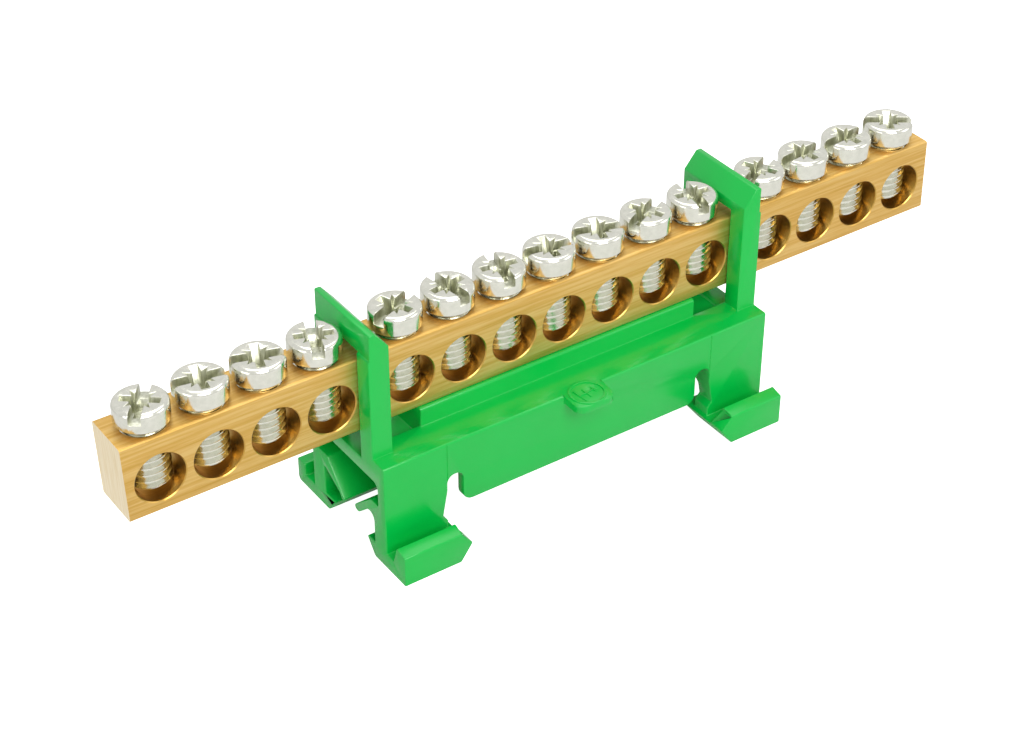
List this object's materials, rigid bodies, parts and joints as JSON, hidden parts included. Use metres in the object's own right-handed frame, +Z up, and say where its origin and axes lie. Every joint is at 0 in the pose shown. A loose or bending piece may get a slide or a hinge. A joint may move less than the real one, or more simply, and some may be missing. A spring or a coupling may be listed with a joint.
{
  "type": "earth terminal bar",
  "caption": "Brass earth terminal bar with a row of wire holes and clamping screws, in a green moulded holder that clips onto a top-hat rail.",
  "frame": {"origin": "under the middle of the bar, in the plane of the undersides of the holder's feet", "axes": "+X along the bar, -Y the front where the boss with the earth sign is, +Z up through the screws"},
  "size_m": [0.1052, 0.0224, 0.0287],
  "materials": {
    "holder": "satin moulded green nylon",
    "bar": "drawn brass with fine lines along the bar",
    "screws": "bright zinc-plated steel"
  },
  "bodies": {
    "terminal_bar": {"holder": "holder", "bar": "bar"},
    "screw_01": {"screw_01": "screws"},
    "screw_02": {"screw_02": "screws"},
    "screw_03": {"screw_03": "screws"},
    "screw_04": {"screw_04": "screws"},
    "screw_05": {"screw_05": "screws"},
    "screw_06": {"screw_06": "screws"},
    "screw_07": {"screw_07": "screws"},
    "screw_08": {"screw_08": "screws"},
    "screw_09": {"screw_09": "screws"},
    "screw_10": {"screw_10": "screws"},
    "screw_11": {"screw_11": "screws"},
    "screw_12": {"screw_12": "screws"},
    "screw_13": {"screw_13": "screws"},
    "screw_14": {"screw_14": "screws"},
    "screw_15": {"screw_15": "screws"}
  },
  "joints": [
    {"name": "screw_01_travel", "type": "slide", "parent": "terminal_bar", "child": "screw_01", "axis": [0, 0, 1], "range_m": [-0.0001, 0.0045]},
    {"name": "screw_02_travel", "type": "slide", "parent": "terminal_bar", "child": "screw_02", "axis": [0, 0, 1], "range_m": [-0.0001, 0.0045]},
    {"name": "screw_03_travel", "type": "slide", "parent": "terminal_bar", "child": "screw_03", "axis": [0, 0, 1], "range_m": [-0.0001, 0.0045]},
    {"name": "screw_04_travel", "type": "slide", "parent": "terminal_bar", "child": "screw_04", "axis": [0, 0, 1], "range_m": [-0.0001, 0.0045]},
    {"name": "screw_05_travel", "type": "slide", "parent": "terminal_bar", "child": "screw_05", "axis": [0, 0, 1], "range_m": [-0.0001, 0.0045]},
    {"name": "screw_06_travel", "type": "slide", "parent": "terminal_bar", "child": "screw_06", "axis": [0, 0, 1], "range_m": [-0.0001, 0.0045]},
    {"name": "screw_07_travel", "type": "slide", "parent": "terminal_bar", "child": "screw_07", "axis": [0, 0, 1], "range_m": [-0.0001, 0.0045]},
    {"name": "screw_08_travel", "type": "slide", "parent": "terminal_bar", "child": "screw_08", "axis": [0, 0, 1], "range_m": [-0.0001, 0.0045]},
    {"name": "screw_09_travel", "type": "slide", "parent": "terminal_bar", "child": "screw_09", "axis": [0, 0, 1], "range_m": [-0.0001, 0.0045]},
    {"name": "screw_10_travel", "type": "slide", "parent": "terminal_bar", "child": "screw_10", "axis": [0, 0, 1], "range_m": [-0.0001, 0.0045]},
    {"name": "screw_11_travel", "type": "slide", "parent": "terminal_bar", "child": "screw_11", "axis": [0, 0, 1], "range_m": [-0.0001, 0.0045]},
    {"name": "screw_12_travel", "type": "slide", "parent": "terminal_bar", "child": "screw_12", "axis": [0, 0, 1], "range_m": [-0.0001, 0.0045]},
    {"name": "screw_13_travel", "type": "slide", "parent": "terminal_bar", "child": "screw_13", "axis": [0, 0, 1], "range_m": [-0.0001, 0.0045]},
    {"name": "screw_14_travel", "type": "slide", "parent": "terminal_bar", "child": "screw_14", "axis": [0, 0, 1], "range_m": [-0.0001, 0.0045]},
    {"name": "screw_15_travel", "type": "slide", "parent": "terminal_bar", "child": "screw_15", "axis": [0, 0, 1], "range_m": [-0.0001, 0.0045]}
  ]
}
